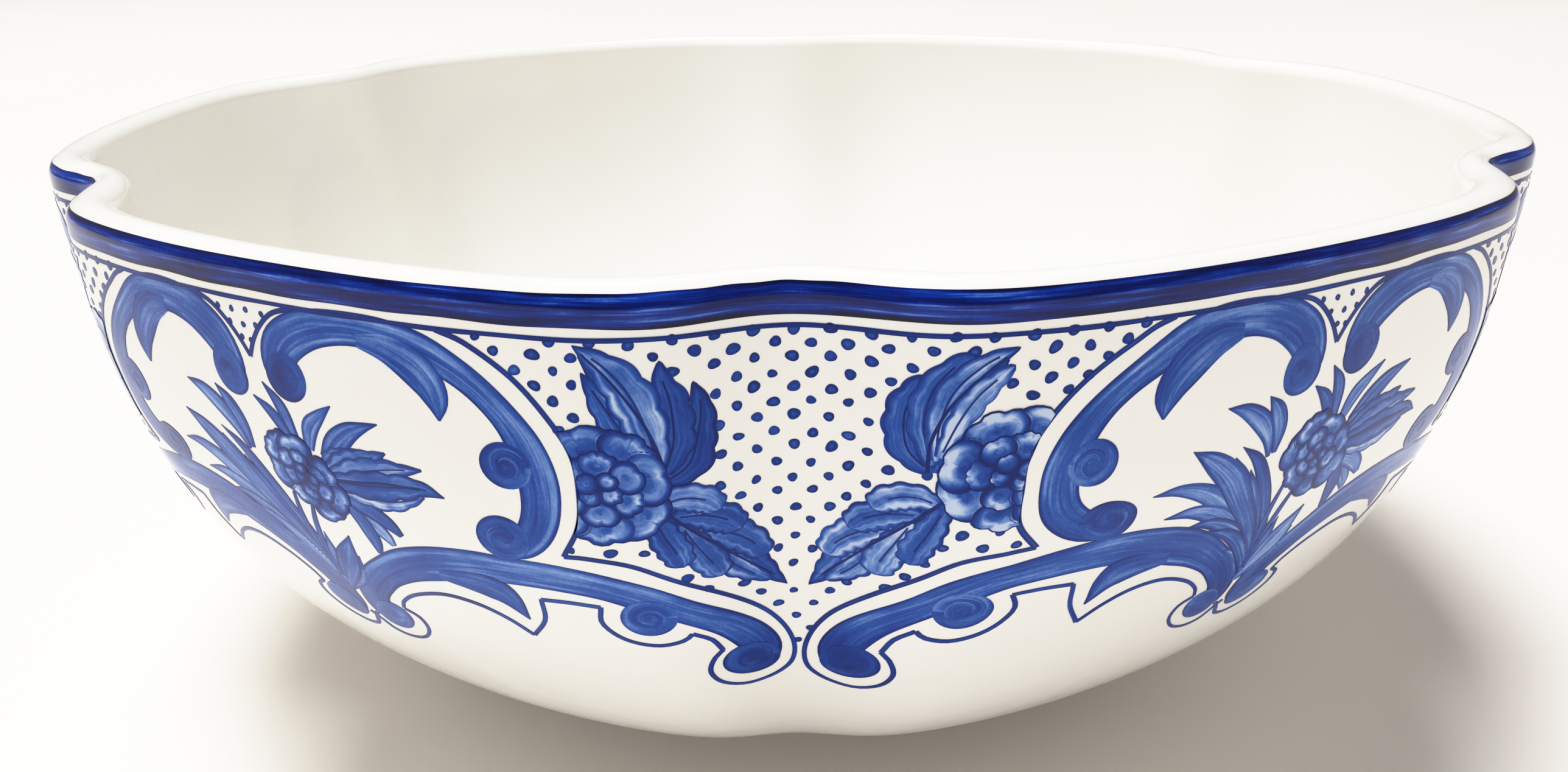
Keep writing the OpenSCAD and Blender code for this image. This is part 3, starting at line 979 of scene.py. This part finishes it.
def shell_between(name, node, high_phi, low_phi, steps):
    """A stretch of the side, closed by the faces where it meets its neighbours."""
    out = swept(outer, span(high_phi, low_phi, steps))
    back = swept(inner, span(low_phi, high_phi, steps), -1)
    shell = make_shell(name, [out, joining(out, back), back, joining(back, out)], WHITE)
    return link(shell, "glazed_porcelain", node)


shell_between("porcelain_belly", "bowl_belly", WALL_PHI, FLOOR_PHI, steps=24)
shell_between("porcelain_wall", "bowl_wall", LIP_PHI, WALL_PHI, steps=26)

lip_out = swept(outer, span(ROUND_PHI, LIP_PHI, 4))
lip_in = swept(inner, span(LIP_PHI, ROUND_PHI, 4), -1)
lip_round = swept(lambda turn, v: lip(turn, -v), span(-math.pi, 0, 22))
link(make_shell("porcelain_lip", [lip_out, joining(lip_out, lip_in), lip_in, lip_round], WHITE),
     "glazed_porcelain", "rim_lip")

# The well and the underside run in to a small disc, a share of their radius
DISC = 0.02
floor_well = swept(well, span(DISC, 1, 12))
floor_in = swept(inner, span(math.pi / 2, FLOOR_PHI, 16), -1)
floor_out = swept(outer, span(FLOOR_PHI, math.pi / 2, 16))
floor_under = swept(underside, span(1, DISC, 12))
floor_well.normals[:] = (0, 0, 1)
floor_under.normals[:] = (0, 0, -1)
floor_sheets = [floor_well, floor_in, joining(floor_in, floor_out), floor_out, floor_under]
link(make_shell("porcelain_floor", floor_sheets, WHITE, closed=False),
     "glazed_porcelain", "well_floor")

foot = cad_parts["foot_ring"]
foot.data.materials.clear()
foot.data.materials.append(FOOT)

# ------------------------ the painting
BAND_TOP, BAND_LOW = 0.9, 4.6
RIM_LINE_HALF = 0.28
band = ring_stroke("rim_band", BAND_TOP, BAND_LOW, DEEP, 0, 0.52, wobble=0.16, seed=5)
link(band, "cobalt_glaze", "cobalt_band")
rim_line = ring_stroke("rim_line", RIM_LINE_Y - RIM_LINE_HALF, RIM_LINE_Y + RIM_LINE_HALF,
                       BRUSHED, 2, 0.6, wobble=0.05, seed=6)
link(rim_line, "cobalt_glaze")

for unit in range(LOBES):
    middle = unit * PITCH
    rng = random.Random(100 + unit)
    number = str(unit + 1)
    scrolls, lines, flowers, dots = (Canvas(middle, 1.0) for _ in range(4))
    spray = Canvas(middle + PITCH / 2)
    paint_scrolls(scrolls, rng)
    scrolls.make("scrolls_" + number, BRUSHED)
    paint_lines(lines)
    lines.make("outlines_" + number, BRUSHED)
    paint_flowers(flowers, rng)
    flowers.make("flowers_" + number, BRUSHED)
    paint_dots(dots, rng, flowers.outlines)
    dots.make("dots_" + number, BRUSHED)
    paint_spray(spray, rng)
    spray.make("spray_" + number, BRUSHED)


# ------------------------ floor, light and camera
FLOOR_REACH = 320 * RIM_R
FLOOR_CLOUDS, FLOOR_ROUGHNESS, FLOOR_BUMP = 2.2, 0.7, 10 * MM


def floor_material():
    n = Nodes("pale_floor")
    place = n.add("TexCoord").outputs["Object"]
    clouds = n.noise(place, FLOOR_CLOUDS, 3.0)
    n.feed(n.shader.inputs["Base Color"],
           n.ramp(clouds, [(0.3, srgb(246, 241, 234)), (0.7, srgb(251, 248, 244))]))
    n.shader.inputs["Roughness"].default_value = FLOOR_ROUGHNESS
    bump = n.add("Bump", {"Strength": 0.3, "Distance": FLOOR_BUMP, "Height": clouds})
    n.feed(n.shader.inputs["Normal"], bump.outputs["Normal"])
    return n.material


mesh = bpy.data.meshes.new("floor")
mesh.from_pydata([(x * FLOOR_REACH, y * FLOOR_REACH, cad_low.z)
                  for x, y in ((-1, -1), (1, -1), (1, 1), (-1, 1))], [], [(0, 1, 2, 3)])
mesh.materials.append(floor_material())
floor = bpy.data.objects.new("floor", mesh)
bpy.context.scene.collection.objects.link(floor)


def area_light(name, place, size, power, colour, glossy=True, diffuse=True):
    """A soft box aimed at the bowl; it can be left out of reflections or of shading."""
    data = bpy.data.lights.new(name, "AREA")
    data.shape = "RECTANGLE"
    data.size, data.size_y = size
    data.energy = power
    data.color = colour
    lamp = bpy.data.objects.new(name, data)
    lamp.location = place
    aim = Vector((0, 0, BOWL_H / 2)) - Vector(place)
    lamp.rotation_euler = aim.to_track_quat("-Z", "Y").to_euler()
    lamp.visible_camera = False
    lamp.visible_glossy = glossy
    lamp.visible_diffuse = diffuse
    bpy.context.scene.collection.objects.link(lamp)


area_light("key", (-0.72, 0.1, 3.75), (1.7, 1.4), 196, (1.0, 0.99, 0.97), glossy=False)
area_light("fill", (-0.9, -2.7, 0.6), (1.8, 0.7), 8, (1.0, 0.99, 0.98), glossy=False)
area_light("glint", (-0.3, 1.5, 2.6), (1.1, 0.16), 26, (1.0, 1.0, 1.0), diffuse=False)

world = bpy.data.worlds.new("studio")
world.use_nodes = True
sky = world.node_tree.nodes["Background"]
sky.inputs["Color"].default_value = (1.0, 0.945, 0.885, 1)
sky.inputs["Strength"].default_value = 0.29
bpy.context.scene.world = world

# The picture's shoulder: light brighter than paper white is eased in, not cut off. The
# points are light, as a share of FILM_WHITE, and the light shown for it.
FILM_WHITE = 1.6
FILM_CURVE = [(0.2, 0.32), (0.4, 0.64), (0.54, 0.83), (0.7, 0.935)]
view = bpy.context.scene.view_settings
view.view_transform = "Standard"
view.use_curve_mapping = True
view.curve_mapping.white_level = (FILM_WHITE, FILM_WHITE, FILM_WHITE)
for place in FILM_CURVE:
    view.curve_mapping.curves[3].points.new(*place)
view.curve_mapping.update()

# The photograph's viewpoint: out from the notch at -Y, a little above the rim
CAMERA_OUT = 2.0917 * RIM_R
CAMERA_UP = BOWL_H + 0.3137 * RIM_R
CAMERA_PITCH = 0.3531
CAMERA_YAW = 0.0068
CAMERA_ROLL = -0.0153
LENS_MM = 31.45
SENSOR_MM = 36

camera = bpy.data.objects.new("camera", bpy.data.cameras.new("camera"))
camera.data.lens = LENS_MM
camera.data.sensor_width = SENSOR_MM
camera.data.clip_start = 10 * MM
sight = Vector((-math.sin(CAMERA_YAW) * math.cos(CAMERA_PITCH),
                math.cos(CAMERA_YAW) * math.cos(CAMERA_PITCH), -math.sin(CAMERA_PITCH)))
level = Vector((math.cos(CAMERA_YAW), math.sin(CAMERA_YAW), 0))
above = level.cross(sight)
right = level * math.cos(CAMERA_ROLL) + above * math.sin(CAMERA_ROLL)
upward = right.cross(sight)
camera.matrix_world = Matrix((
    (right.x, upward.x, -sight.x, 0),
    (right.y, upward.y, -sight.y, -CAMERA_OUT),
    (right.z, upward.z, -sight.z, CAMERA_UP),
    (0, 0, 0, 1)))
bpy.context.scene.collection.objects.link(camera)
bpy.context.scene.camera = camera
